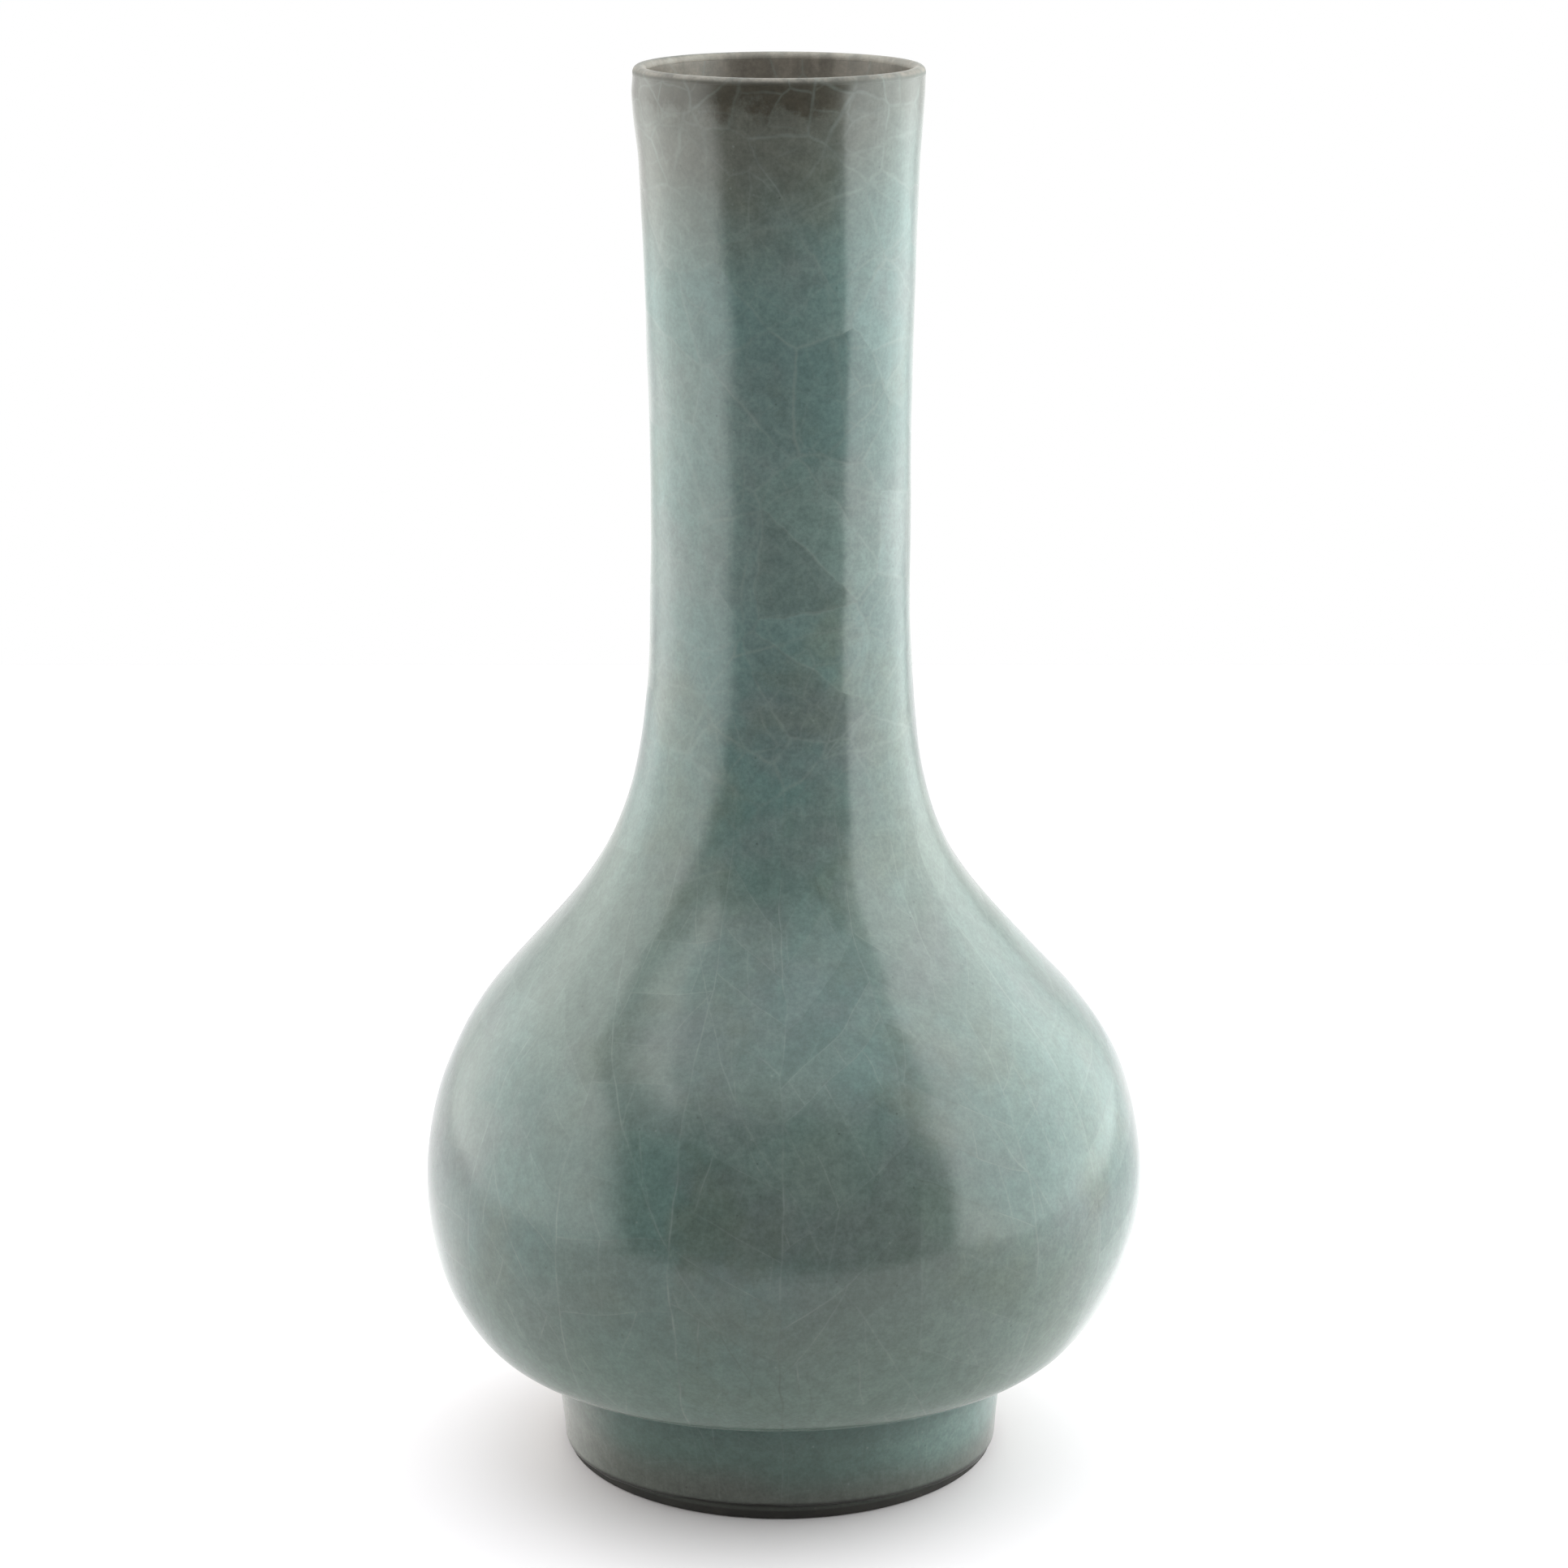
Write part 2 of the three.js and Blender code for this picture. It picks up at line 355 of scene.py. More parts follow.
def lining(material):
    """The coat over the inside, from the lip down over the floor."""
    wall = offset(OUTSIDE, lambda place: -wall_at(place))
    wall = [place for place in wall if place.y > on_belly(BELLY_LOW_ANGLE)[0].y]
    wall[-1] = Vector((MOUTH_RADIUS - 2 * LIP_RADIUS, LIP_CENTRE.y - BOND_GAP))
    rim = wall[0]
    tangent = (wall[1] - rim).normalized()
    corner = rim + tangent * ((FLOOR_HEIGHT - rim.y) / tangent.y) + FLOOR_POOL
    floor_centre = Vector((0, FLOOR_HEIGHT))
    floor_edge = Vector((FLOOR_FLAT_RADIUS, FLOOR_HEIGHT))
    flat = bezier(floor_centre, floor_edge)
    face = [*flat, *bezier(floor_edge, corner, rim), *wall]
    back = offset(face[::BACK_STRIDE], lambda place: LINING_THICKNESS)
    back[0].x = 0
    outline = [*face, face[-1] + Vector((COAT_THICKNESS, 0)), *reversed(back[:-1])]
    dress(turned("lining_coat", outline, finger_rings), "inner_glaze", material)


def foot(material):
    """The turned foot ring, bare below the coat, with softened edges."""
    round_off = FOOT_EDGE_ROUND
    inset = COAT_THICKNESS + BOND_GAP
    on_ring = [place for place in OUTSIDE if round_off < place.y < FOOT_RING_HEIGHT]
    side = [Vector((place.x - inset, place.y)) for place in on_ring]
    top = Vector((radius_at(OUTSIDE, FOOT_RING_HEIGHT) - inset, FOOT_RING_HEIGHT))
    outer_corner = Vector((side[0].x - round_off, round_off))
    inner_corner = Vector((RECESS_RADIUS + round_off, round_off))
    outline = [
        *arc(inner_corner, round_off, -math.pi, -math.pi / 2, EDGE_STEPS),
        *arc(outer_corner, round_off, -math.pi / 2, 0, EDGE_STEPS),
        *side,
        top,
        Vector((RECESS_RADIUS, FOOT_RING_HEIGHT)),
    ]
    dress(turned("bare_foot", outline, thrown), "foot_ring", material)


def recess_coat(material):
    """The thin coat in the recess under the base, with its corner filled and its edge rolled."""
    thickness = LINING_THICKNESS
    rim = RECESS_RADIUS - BOND_GAP
    top = BASE_HEIGHT - BOND_GAP
    face_radius = rim - thickness
    face_height = top - thickness
    flat_radius = face_radius - RECESS_FILL
    corner = Vector((flat_radius, face_height - RECESS_FILL))
    bead_centre = Vector((rim - thickness / 2, RECESS_BARE_HEIGHT + thickness / 2))
    outline = [
        *bezier(Vector((0, face_height)), Vector((flat_radius, face_height))),
        *arc(corner, RECESS_FILL, math.pi / 2, 0, BEAD_STEPS),
        *arc(bead_centre, thickness / 2, math.pi, math.tau, BEAD_STEPS),
        Vector((rim, top)),
        Vector((0, top)),
    ]
    dress(turned("recess_coat", outline, thrown), "base_glaze", material)


# Shader nodes

# Sockets of a Mix node that are for colours
MIX_FIRST = 6
MIX_SECOND = 7
MIX_RESULT = 2


class Graph:
    """Adds shader nodes to a material or a world. A value that is a socket is linked, any other is set."""

    def __init__(self, owner):
        owner.use_nodes = True
        self.tree = owner.node_tree
        self.tree.nodes.clear()

    def node(self, kind, inputs, **settings):
        node = self.tree.nodes.new("ShaderNode" + kind)
        for name, value in settings.items():
            setattr(node, name, value)
        for key, value in inputs.items():
            if isinstance(value, bpy.types.NodeSocket):
                self.tree.links.new(value, node.inputs[key])
            else:
                node.inputs[key].default_value = value
        return node

    def math(self, operation, first, second=0.0):
        return self.node("Math", {0: first, 1: second}, operation=operation).outputs[0]

    def times(self, first, second):
        return self.math("MULTIPLY", first, second)

    def plus(self, first, second):
        return self.math("ADD", first, second)

    def ramp(self, value, low, high, start=0.0, end=1.0):
        """Goes smoothly from start to end as the value goes from low to high."""
        inputs = {"Value": value, "From Min": low, "From Max": high, "To Min": start, "To Max": end}
        return self.node("MapRange", inputs, interpolation_type="SMOOTHSTEP").outputs[0]

    def blend(self, share, first, second):
        """Mixes two colours."""
        inputs = {0: share}
        for socket, colour in ((MIX_FIRST, first), (MIX_SECOND, second)):
            inputs[socket] = (*colour, 1) if isinstance(colour, tuple) else colour
        return self.node("Mix", inputs, data_type="RGBA").outputs[MIX_RESULT]

    def tint(self, colour, factor):
        """Brightens or darkens a colour by a factor."""
        inputs = {0: 1.0, MIX_FIRST: colour, MIX_SECOND: factor}
        mix = self.node("Mix", inputs, data_type="RGBA", blend_type="MULTIPLY")
        return mix.outputs[MIX_RESULT]

    def vector(self, operation, first, second):
        return self.node("VectorMath", {0: first, 1: second}, operation=operation).outputs[0]

    def parts(self, vector):
        """The three parts of a vector or a colour."""
        return self.node("SeparateXYZ", {0: vector}).outputs

    def place(self):
        """The point on the piece, in metres."""
        return self.node("TexCoord", {}).outputs["Object"]

    def shifted(self, place, shift, stretch=(1, 1, 1)):
        return self.node("Mapping", {"Vector": place, "Location": shift, "Scale": stretch}).outputs[0]

    def cloud(self, place, size, detail=2.0, roughness=0.5):
        """Soft noise whose lumps have about the given size."""
        inputs = {"Vector": place, "Scale": 1 / size, "Detail": detail, "Roughness": roughness}
        return self.node("TexNoise", inputs)

    def cells(self, place, size, feature, dimensions="3D"):
        """A cell pattern whose cells have about the given size."""
        inputs = {"Vector": place, "Scale": 1 / size}
        return self.node("TexVoronoi", inputs, voronoi_dimensions=dimensions, feature=feature)

    def bump(self, height, strength, relief, **inputs):
        """A normal that follows a fine relief."""
        sockets = {"Strength": strength, "Distance": relief, "Height": height, **inputs}
        return self.node("Bump", sockets).outputs[0]

    def surface(self, **inputs):
        """Ends a material in one shader. Names are the shader's sockets, with _ for a space."""
        sockets = {name.replace("_", " "): value for name, value in inputs.items()}
        shader = self.node("BsdfPrincipled", sockets)
        self.node("OutputMaterial", {"Surface": shader.outputs[0]})


def new_graph(name):
    """A new material and its graph."""
    material = bpy.data.materials.new(name)
    return material, Graph(material)


# Colours of the glaze

SEA_GREEN = (0.080, 0.128, 0.116)
GREY_GREEN = (0.096, 0.126, 0.110)
NECK_BLUE = (0.078, 0.128, 0.128)
LILAC_GREY = (0.102, 0.117, 0.113)
OLIVE = (0.090, 0.112, 0.090)
MOUTH_BROWN = (0.072, 0.069, 0.057)
LIP_OLIVE = (0.039, 0.034, 0.025)
# Pale crest: partly worn thin glaze, partly a painted highlight
LIP_CREST_WORN_AND_LIT = (0.165, 0.141, 0.117)
LINING_LIGHT = (0.290, 0.252, 0.210)
LINING_DARK = (0.180, 0.155, 0.128)
RECESS_LIGHT = (0.120, 0.142, 0.128)
RECESS_DARK = (0.100, 0.104, 0.092)
FOOT_GREEN = (0.060, 0.100, 0.085)
# Painted light on the foot's right side
FOOT_PAINTED_LIGHT = (0.122, 0.192, 0.175)
FOOT_BROWN = (0.086, 0.086, 0.073)
# A painted reflection on the foot's left end
FOOT_PAINTED_REFLECTION = (0.190, 0.200, 0.180)
# Pooled glaze at the foot's root, darkened further by painted shade under the belly
FOOT_POOL_AND_SHADE = (0.044, 0.080, 0.069)
LOW_GREEN = (0.084, 0.137, 0.103)
EDGE_DARK = (0.012, 0.011, 0.009)
PALE_CRACK = (0.205, 0.240, 0.220)
DARK_CRACK = (0.040, 0.046, 0.038)
DARK_SPECK = (0.020, 0.024, 0.020)

# Clouds of noise: the size of the lumps, then detail and roughness where they aren't the usual ones
PATCHES = (48 * MM, 3.0, 0.55)
BLOOMS = (22 * MM, 4.0, 0.6)
BLOTCHES = (5 * MM, 6.0, 0.75)
STREAKS = (7 * MM, 3.0, 0.6)
SAND = (0.65 * MM, 3.0, 0.7)
MOTTLE_SIZE = 2.4 * MM
CRACK_BREAK_SIZE = 4 * MM
DARK_CRACK_SIZE = 34 * MM

# Shifts that keep patterns of one kind apart
LILAC_SHIFT = (0.3, 0.1, 0.2)
OLIVE_SHIFT = (0.6, 0.4, 0.1)
DARK_CRACK_SHIFT = (0.7, 0.2, 0.4)
PALE_SPECK_SHIFT = (0.5, 0.5, 0.5)

# Layers of crackle: spacing, width of a line, strength, and the size of the areas where the layer shows
LONG_CRACKS = (23 * MM, 0.34 * MM, 0.42, 40 * MM)
SLANTED_CRACKS = (36 * MM, 0.34 * MM, 0.42, 40 * MM)
CROSS_CRACKS = (9.5 * MM, 0.32 * MM, 0.36, 26 * MM)
FINE_CRACKS = (11 * MM, 0.28 * MM, 0.30, 18 * MM)
CRACK_START = 412 * MM
SLANT = 0.6
CROSS_LEAN = 0.8
FINE_LEAN = 0.7

# On the neck also how much longer than wide a tile is, and how far it is turned from upright
NECK_TILES = (11 * MM, 0.44 * MM, 0.36, 24 * MM, 1.4, math.radians(-38))
NECK_CRACKS = (
    (19 * MM, 0.46 * MM, 0.34, 40 * MM, 1.8, math.radians(50)),
    NECK_TILES,
    (5.5 * MM, 0.32 * MM, 0.22, 15 * MM, 1.2, math.radians(20)),
)
NECK_START = (106 * MM, 132 * MM)

# In the thin coats inside and under the base: spacing, width of a line, length to width of a tile, turn
THIN_CRACKS = (9 * MM, 0.3 * MM, 1.3, 0)
THIN_CRACK_SHARE = 0.3

# How far the cracks wander, and over what length
CRACK_WANDER = (4 * MM, 18 * MM)
NECK_WANDER = (2.4 * MM, 6 * MM)

# The share of its strength that a layer keeps where it shows least
BODY_LEAST = 0.2
NECK_LEAST = 0.45

# A halo beside a crack, as shares of the line's width and strength
HALO_WIDTH = 4.0
HALO_STRENGTH = 0.15

# From here on a ramp is given as two values, and the results at the two where they aren't 0 and 1
AREA_RANGE = (0.36, 0.62)
BREAK_RANGE = (0.30, 0.65, 0.40, 1.0)
CROSS_KEPT = (0.3, 0.7, 0.15, 1.0)
CRACKS_OFF_FOOT = (16 * MM, 26 * MM, 0.4, 1.0)
DARK_CRACK_RANGE = (0.60, 0.66)

SPECK_SPACING = 3.2 * MM
SPECK_SIZE = 0.32 * MM
SPECK_RANGE = (0.55, 0.75)
DARK_SPECK_SHARE = 0.55
PALE_SPECK_SHARE = 0.4

# Tones of the body and of each tile, and painted light and shade over the body
PATCH_RANGE = (0.36, 0.64)
LILAC_RANGE = (0.46, 0.68, 0.0, 0.6)
OLIVE_RANGE = (0.50, 0.70, 0.0, 0.6)
NECK_BLUE_RISE = (105 * MM, 150 * MM, 0.0, 0.4)
TILE_HUE = (0.5, 1.0, 0.0, 0.17)
TILE_TONE = (0.0, 1.0, 0.93, 1.06)
SAND_TONE = (0.25, 0.75, 0.86, 1.14)
MOTTLE_TONE = (0.25, 0.75, 0.90, 1.10)
# Painted shade and light: the body darker low on the belly and lighter up the neck
HEIGHT_PAINTED_SHADE_AND_LIGHT = (55 * MM, 160 * MM, 0.97, 1.28)
# Painted light: the body lighter towards the right side
RIGHT_PAINTED_LIGHT = (20 * MM, 60 * MM, 1.0, 1.25)

# The thin glaze at the mouth and on the lip, and a painted highlight on the lip's crest
MOUTH_LEAN = -0.35
MOUTH_DRIFT = 50 * MM
MOUTH_RISE = (204 * MM, 242 * MM, 0.0, 0.9)
LIP_DRIFT = 15 * MM
LIP_BAND = (232.5 * MM, 236.5 * MM, 0.0, 0.95)
LIP_BAND_END = (4 * MM, 16 * MM, 1.0, 0.35)
LIP_OUTSIDE = (LIP_CENTRE.x - 0.2 * MM, LIP_CENTRE.x + 0.7 * MM)
LIP_INSIDE = (LIP_CENTRE.x - 0.6 * MM, LIP_CENTRE.x + 0.1 * MM, 1.0, 0.0)
LIP_INSIDE_RISE = (237 * MM, 238 * MM)
CREST_RISE = (239.2 * MM, 239.8 * MM)
CREST_PATCHES = (0.35, 0.62, 0.15, 1.0)
CREST_FALL = (-8 * MM, 12 * MM, 1.0, 0.35)
STREAK_RANGE = (0.35, 0.65)
LINING_STREAK = 4.0
RIM_DARK = (226 * MM, 238 * MM, 1.0, 0.74)

# The pooled glaze on the foot, with painted shade at its root, painted light and a painted reflection on
# its sides, and its dark lower edge
LOW_GREEN_FALL = (22 * MM, 60 * MM, 0.65, 0.0)
FOOT_FALL = (18 * MM, 24 * MM, 0.8, 0.0)
FOOT_PAINTED_LIGHT_RISE = (6 * MM, 34 * MM)
POOL_AND_SHADE_RISE = (12 * MM, 17.5 * MM)
POOL_AND_SHADE_FALL = (18.5 * MM, 20 * MM, 0.7, 0.0)
FOOT_BROWN_DRIFT = 14 * MM
FOOT_BROWN_FALL = (4 * MM, 12 * MM, 0.8, 0.0)
# Painted reflection: pale grey on the foot's left end, below the root
FOOT_REFLECTION_END = (-36 * MM, -26 * MM, 0.7, 0.0)
FOOT_REFLECTION_FALL = (14 * MM, 20 * MM, 1.0, 0.0)
EDGE_FALL = (2.9 * MM, 3.7 * MM, 0.95, 0.0)

# The skin of the glaze
GLAZE_IOR = 1.5
GLAZE_ROUGHNESS = (0.3, 0.7, 0.14, 0.19)
BAND_ROUGHNESS = 0.04
CREST_ROUGHNESS = (238.6 * MM, 239.4 * MM, 0.0, 0.35)
THIN_ROUGHNESS = (0.3, 0.7, 0.29, 0.36)
GLAZE_HAZE = 0.1
GLAZE_HAZE_SPREAD = 0.4
GLAZE_BUMP = 0.07
THIN_BUMP = 0.15
GLAZE_RELIEF = 0.05 * MM
CRACK_RELIEF = -0.6
BODY_TILT = 0.03
NECK_TILT = 0.06


def tall(graph, place, stretch):
    """Squeezes the height, so that a pattern laid there comes out taller by the stretch."""
    return graph.shifted(place, (0, 0, 0), (1, 1, 1 / stretch))


def spread(graph, noise_value, size):
    """A noise value as a length to either side of nothing."""
    return graph.times(graph.math("SUBTRACT", noise_value, 0.5), size)


def wandering(graph, place, reach, size):
    """Bends straight lines a little, over lengths of about the given size."""
    wander = graph.cloud(place, size).outputs["Color"]
    centred = graph.vector("SUBTRACT", wander, (0.5, 0.5, 0.5))
    return graph.vector("ADD", place, graph.vector("MULTIPLY", centred, (reach,) * 3))


def from_axis(graph, across, away):
    """The distance from the vase's axis."""
    return graph.math("SQRT", graph.plus(graph.times(across, across), graph.times(away, away)))


def way_round(graph, across, away):
    """The angle about the vase's axis, from the front."""
    return graph.math("ARCTAN2", across, graph.times(away, -1.0))


def unrolled(graph, place):
    """The neck rolled out flat: the way round it from the front, then the height."""
    across, away, height = graph.parts(place)
    around = graph.times(way_round(graph, across, away), WAIST_RADIUS)
    return graph.node("CombineXYZ", {0: around, 1: height}).outputs[0]


def from_below(_, place):
    """A level surface needs no rolling out."""
    return place


def rolled_out(graph, place):
    """The belly rolled out flat: the way round it and the way up it, as lengths at its widest circle."""
    across, away, height = graph.parts(place)
    over_middle = graph.math("SUBTRACT", height, BELLY_HEIGHT)
    rise = graph.math("ARCTAN2", over_middle, from_axis(graph, across, away))
    turn = way_round(graph, across, away)
    return graph.times(turn, BELLY_RADIUS), graph.times(rise, BELLY_RADIUS)


def laid_flat(graph, flat, stretch, turn):
    """Turns and squeezes a flat surface for a pattern of long tiles."""
    turned_flat = graph.node("Mapping", {"Vector": flat, "Rotation": (0, 0, turn)}).outputs[0]
    return graph.shifted(turned_flat, (0, 0, 0), (1, 1 / stretch, 1))


def line_and_halo(graph, apart, width):
    """1 on a crack, falling off at its width, with a weak halo further out."""
    line = graph.ramp(apart, 0.0, width, 1.0, 0.0)
    halo = graph.ramp(apart, 0.0, HALO_WIDTH * width, HALO_STRENGTH, 0.0)
    return graph.math("MAXIMUM", line, halo)


def flat_lines(graph, flat, size, width, stretch, turn):
    """One layer of crackle on a surface that is laid flat."""
    edge = graph.cells(laid_flat(graph, flat, stretch, turn), size, "DISTANCE_TO_EDGE", "2D")
    return line_and_halo(graph, edge.outputs["Distance"], width / size)


def split(graph, along, cracks):
    """Splits a length at random. Gives the cracks between the strips and a colour drawn for each strip."""
    spacing, width = cracks[:2]
    inputs = {"W": along, "Scale": 1 / spacing}
    edge = graph.node("TexVoronoi", inputs, voronoi_dimensions="1D", feature="DISTANCE_TO_EDGE")
    strip = graph.node("TexVoronoi", inputs, voronoi_dimensions="1D", feature="F1")
    return line_and_halo(graph, edge.outputs["Distance"], width / spacing), strip.outputs["Color"]


def drawn_length(graph, along, sideways, draw, lean):
    """A length whose lean to the side and whose start go by the colour drawn."""
    tilt, start, _ = graph.parts(draw)
    leaned = graph.times(sideways, spread(graph, tilt, 2 * lean))
    return graph.plus(graph.plus(along, leaned), start)


def joined(graph, place, layers, least):
    """Joins layers of cracks, each fading to its least share in some areas, and breaks the lines up."""
    total = 0.0
    for number, (lines, (_, _, strength, patch)) in enumerate(layers):
        shown = graph.cloud(graph.shifted(place, (patch, 3 * patch, number)), patch).outputs[0]
        layer = graph.times(lines, graph.ramp(shown, *AREA_RANGE, least * strength, strength))
        total = graph.math("MAXIMUM", total, layer)
    broken = graph.cloud(place, CRACK_BREAK_SIZE).outputs[0]
    return graph.times(total, graph.ramp(broken, *BREAK_RANGE))


def body_crackle(graph, place):
    """Long cracks up the body, shorter ones across between them, and fine ones in the tiles left over."""
    around, up = rolled_out(graph, place)
    around = graph.plus(around, CRACK_START)
    slanted = graph.plus(around, graph.times(up, SLANT))
    long_lines, strip = split(graph, around, LONG_CRACKS)
    slanted_lines, _ = split(graph, slanted, SLANTED_CRACKS)
    cross_lines, tile = split(graph, drawn_length(graph, up, around, strip, CROSS_LEAN), CROSS_CRACKS)
    cross_lines = graph.times(cross_lines, graph.ramp(graph.parts(tile)[2], *CROSS_KEPT))
    fine_lines, _ = split(graph, drawn_length(graph, around, up, tile, FINE_LEAN), FINE_CRACKS)
    layers = (
        (long_lines, LONG_CRACKS),
        (slanted_lines, SLANTED_CRACKS),
        (cross_lines, CROSS_CRACKS),
        (fine_lines, FINE_CRACKS),
    )
    return joined(graph, place, layers, BODY_LEAST), tile


def neck_crackle(graph, place):
    """Long tiles of three sizes on the neck."""
    flat = unrolled(graph, place)
    layers = []
    for *cracks, stretch, turn in NECK_CRACKS:
        size, width = cracks[:2]
        layers.append((flat_lines(graph, flat, size, width, stretch, turn), cracks))
    size, *_, stretch, turn = NECK_TILES
    tile = graph.cells(laid_flat(graph, flat, stretch, turn), size, "F1", "2D").outputs["Color"]
    return joined(graph, place, layers, NECK_LEAST), tile


def crackled(graph, place, height):
    """The crack lines all over, and a colour drawn for each tile between them."""
    bent = wandering(graph, place, *CRACK_WANDER)
    on_neck = graph.ramp(height, *NECK_START)
    on_body = graph.math("SUBTRACT", 1.0, on_neck)
    body, body_tile = body_crackle(graph, bent)
    neck, neck_tile = neck_crackle(graph, wandering(graph, bent, *NECK_WANDER))
    body = graph.times(body, graph.times(graph.ramp(height, *CRACKS_OFF_FOOT), on_body))
    lines = graph.plus(body, graph.times(neck, on_neck))
    return lines, graph.blend(on_neck, body_tile, neck_tile)


def specks(graph, place):
    """Small spots, far apart."""
    cell = graph.cells(place, SPECK_SPACING, "F1")
    near = graph.ramp(cell.outputs["Distance"], 0.0, SPECK_SIZE / SPECK_SPACING, 1.0, 0.0)
    draw = graph.parts(cell.outputs["Color"])[0]
    return graph.times(near, graph.ramp(draw, *SPECK_RANGE))


def streaked(graph, place, light, dark, streak):
    """Two tones in soft streaks that run down the wall, darker at the rim where the coat is thin."""
    streaks = graph.cloud(tall(graph, place, streak), *STREAKS).outputs[0]
    colour = graph.blend(graph.ramp(streaks, *STREAK_RANGE), light, dark)
    height = graph.parts(place)[2]
    return graph.tint(colour, graph.ramp(height, *RIM_DARK))


def sandy(graph, place, colour):
    """Breaks a colour up with fine grain and soft mottling."""
    sand = graph.cloud(place, *SAND).outputs[0]
    mottle = graph.cloud(place, MOTTLE_SIZE).outputs[0]
    colour = graph.tint(colour, graph.ramp(sand, *SAND_TONE))
    return sand, graph.tint(colour, graph.ramp(mottle, *MOTTLE_TONE))


def body_tones(graph, place, tile):
    """Sea green, bluer on the neck, drifting into grey, lilac and olive and differing from tile to tile."""
    patches = graph.cloud(place, *PATCHES).outputs[0]
    lilac = graph.cloud(graph.shifted(place, LILAC_SHIFT), *BLOOMS).outputs[0]
    olive = graph.cloud(graph.shifted(place, OLIVE_SHIFT), *BLOOMS).outputs[0]
    tone, coolness, warmth = graph.parts(tile)
    height = graph.parts(place)[2]
    colour = graph.blend(graph.ramp(patches, *PATCH_RANGE), SEA_GREEN, GREY_GREEN)
    colour = graph.blend(graph.ramp(height, *NECK_BLUE_RISE), colour, NECK_BLUE)
    colour = graph.blend(graph.ramp(lilac, *LILAC_RANGE), colour, LILAC_GREY)
    colour = graph.blend(graph.ramp(olive, *OLIVE_RANGE), colour, OLIVE)
    colour = graph.blend(graph.ramp(coolness, *TILE_HUE), colour, LILAC_GREY)
    colour = graph.blend(graph.ramp(warmth, *TILE_HUE), colour, OLIVE)
    return patches, lilac, graph.tint(colour, graph.ramp(tone, *TILE_TONE))


def mouth_tones(graph, place, patches, colour):
    """Turns the glaze brown towards the mouth, where it ran thin, further down on one side."""
    across, _, height = graph.parts(place)
    poured = graph.plus(height, graph.times(across, MOUTH_LEAN))
    drift = graph.plus(poured, spread(graph, patches, MOUTH_DRIFT))
    return graph.blend(graph.ramp(drift, *MOUTH_RISE), colour, MOUTH_BROWN)


def foot_tones(graph, place, patches, colour):
    """Pools the glaze on the foot with painted shade at the root, paints light on its right side and a
    reflection on its left end, and thins it to brown above its dark edge.
    """
    across, _, height = graph.parts(place)
    colour = graph.blend(graph.ramp(height, *LOW_GREEN_FALL), colour, LOW_GREEN)
    # Painted light: the foot paler towards its right side
    on_foot = graph.blend(graph.ramp(across, *FOOT_PAINTED_LIGHT_RISE), FOOT_GREEN, FOOT_PAINTED_LIGHT)
    colour = graph.blend(graph.ramp(height, *FOOT_FALL), colour, on_foot)
    # Darker at the root: partly pooled glaze, partly painted shade under the belly
    pool_and_shade = graph.times(graph.ramp(height, *POOL_AND_SHADE_RISE), graph.ramp(height, *POOL_AND_SHADE_FALL))
    colour = graph.blend(pool_and_shade, colour, FOOT_POOL_AND_SHADE)
    drift = graph.plus(height, spread(graph, patches, FOOT_BROWN_DRIFT))
    colour = graph.blend(graph.ramp(drift, *FOOT_BROWN_FALL), colour, FOOT_BROWN)
    # Painted reflection: pale grey at the foot's left end
    foot_reflection = graph.times(graph.ramp(across, *FOOT_REFLECTION_END), graph.ramp(height, *FOOT_REFLECTION_FALL))
    return graph.blend(foot_reflection, colour, FOOT_PAINTED_REFLECTION)


def lip_tones(graph, place, colour):
    """A ragged olive band round the lip outside, a pale crest that is partly worn glaze and partly a
    painted highlight, and the lining's brown inside.
    """
    across, away, height = graph.parts(place)
    radius = from_axis(graph, across, away)
    blotches = graph.cloud(place, *BLOTCHES).outputs[0]
    drift = graph.plus(height, spread(graph, blotches, LIP_DRIFT))
    band = graph.times(graph.ramp(drift, *LIP_BAND), graph.ramp(radius, *LIP_OUTSIDE))
    band = graph.times(band, graph.ramp(across, *LIP_BAND_END))
    colour = graph.blend(band, colour, LIP_OLIVE)
    # The pale crest: partly worn thin glaze, partly a painted highlight where it catches the light, fainter
    # to the rear
    worn_and_lit = graph.times(graph.ramp(height, *CREST_RISE), graph.ramp(blotches, *CREST_PATCHES))
    worn_and_lit = graph.times(worn_and_lit, graph.ramp(away, *CREST_FALL))
    colour = graph.blend(worn_and_lit, colour, LIP_CREST_WORN_AND_LIT)
    inside = graph.times(graph.ramp(radius, *LIP_INSIDE), graph.ramp(height, *LIP_INSIDE_RISE))
    lining_colour = streaked(graph, place, LINING_LIGHT, LINING_DARK, LINING_STREAK)
    return band, graph.blend(inside, colour, lining_colour)


def lined(graph, place, height, cracks, colour):
    """Draws the cracks, pale in most places and dark in a few on the body, and scatters specks."""
    dark_share = graph.cloud(graph.shifted(place, DARK_CRACK_SHIFT), DARK_CRACK_SIZE).outputs[0]
    on_body = graph.ramp(height, *NECK_START, 1.0, 0.0)
    dark = graph.times(graph.ramp(dark_share, *DARK_CRACK_RANGE), on_body)
    colour = graph.blend(cracks, colour, graph.blend(dark, PALE_CRACK, DARK_CRACK))
    dark_specks = graph.times(specks(graph, place), DARK_SPECK_SHARE)
    colour = graph.blend(dark_specks, colour, DARK_SPECK)
    pale_specks = specks(graph, graph.shifted(place, PALE_SPECK_SHIFT))
    return graph.blend(graph.times(pale_specks, PALE_SPECK_SHARE), colour, PALE_CRACK)


